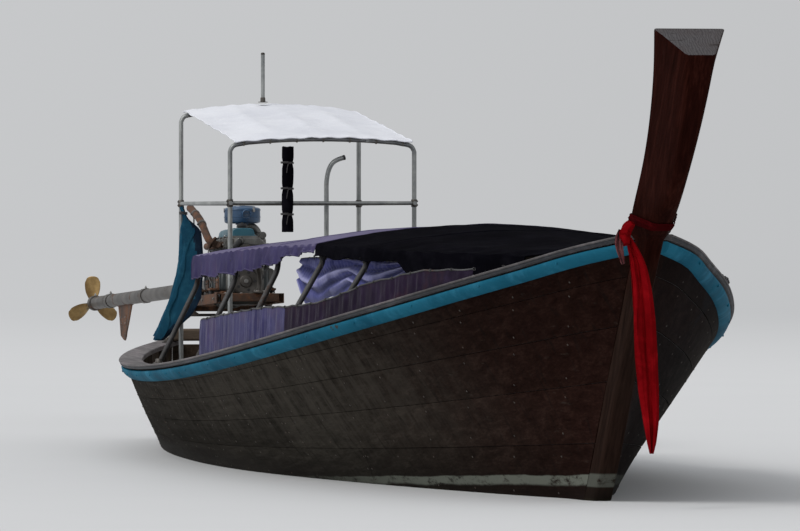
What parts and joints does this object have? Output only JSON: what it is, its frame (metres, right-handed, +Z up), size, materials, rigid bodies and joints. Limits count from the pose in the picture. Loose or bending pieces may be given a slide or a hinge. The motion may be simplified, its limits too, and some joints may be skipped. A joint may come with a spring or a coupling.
{
  "type": "longtail boat",
  "caption": "Wooden open boat with a tall raked prow post, blue rub rails, low passenger canopy, helm roof and a stern engine that swings and tilts with its long propeller tube.",
  "frame": {"origin": "on the waterline plane, on the centreline, half way along the gunwale", "axes": "+X to the bow, +Y to port, +Z up"},
  "size_m": [17.5234, 2.622, 2.8],
  "materials": {
    "hull_planks": "weathered, matt",
    "inner_wood": "oiled, worn",
    "post_wood": "stained, semi-matt",
    "deck_wood": "worn, matt",
    "cap_wood": "bare, sun-bleached",
    "blue_rail": "painted wood, satin",
    "pipe": "dull, satin",
    "black_cloth": "matt",
    "purple_cloth": "matt",
    "lilac_cloth": "matt",
    "white_cloth": "semi-matt",
    "blue_cloth": "matt",
    "red_cloth": "satin",
    "engine_iron": "oily, semi-matt",
    "engine_alloy": "dull",
    "steel": "worn",
    "rusty_steel": "rusted, matt",
    "brass": "worn",
    "filter_blue": "satin",
    "white_plastic": "matt"
  },
  "bodies": {
    "hull": {"port_planking_bow": "hull_planks", "port_planking_forward": "hull_planks", "port_planking_middle": "hull_planks", "port_planking_aft": "hull_planks", "starboard_planking_bow": "hull_planks", "starboard_planking_forward": "hull_planks", "starboard_planking_middle": "hull_planks", "starboard_planking_aft": "hull_planks", "bottom_planking_forward": "hull_planks", "bottom_planking_aft": "hull_planks", "keel_plank": "hull_planks", "prow_post": "post_wood", "transom": "inner_wood", "rub_rail_port": "blue_rail", "rub_rail_starboard": "blue_rail", "gunwale_cap_port": "cap_wood", "gunwale_cap_starboard": "cap_wood", "foredeck": "deck_wood", "floor_timbers": "inner_wood", "bow_frame": "inner_wood", "side_frames_port_forward": "inner_wood", "side_frames_port_aft": "inner_wood", "side_frames_starboard_forward": "inner_wood", "side_frames_starboard_aft": "inner_wood", "grab_pole": "pipe", "floor_boards": "deck_wood", "aft_deck": "deck_wood", "bench_1": "deck_wood", "bench_2": "deck_wood", "bench_3": "deck_wood", "bench_4": "deck_wood", "engine_beam": "inner_wood", "black_canopy": "black_cloth", "purple_canopy": "purple_cloth", "passenger_canopy_frame": "pipe", "side_screen_port": "purple_cloth", "side_screen_starboard": "purple_cloth", "gathered_curtain": "lilac_cloth", "helm_roof_sheet": "white_cloth", "helm_roof_frame": "pipe", "helm_beam": "inner_wood", "roof_pole": "pipe", "rolled_side_curtain": "black_cloth", "blue_cloth": "blue_cloth", "red_sash": "red_cloth", "stern_stanchion": "white_plastic", "fuel_can": "white_plastic", "swivel_post": "steel"},
    "swivel": {"swivel_yoke": "steel"},
    "drive": {"engine_cradle": "rusty_steel", "engine_block": "engine_iron", "cylinder_head": "engine_alloy", "fan_pulley": "steel", "exhaust_pipe": "rusty_steel", "air_filter": "filter_blue", "gearbox": "engine_alloy", "tail_tube": "steel", "tail_brace": "steel", "tiller_arm": "steel"},
    "screw": {"propeller": "brass"}
  },
  "joints": [
    {"name": "tail_swing", "type": "hinge", "parent": "hull", "child": "swivel", "pos_m": [-5.55, 0, 0.85], "axis": [0, 0, 1], "range_deg": [-42, 42]},
    {"name": "tail_tilt", "type": "hinge", "parent": "swivel", "child": "drive", "pos_m": [-5.55, 0, 0.85], "axis": [0, 1, 0], "range_deg": [-13, 4]},
    {"name": "propeller_spin", "type": "hinge", "parent": "drive", "child": "screw", "pos_m": [-10.77101, 0, 0.78775], "axis": [0.9994, 0, 0.0349], "continuous": true}
  ]
}
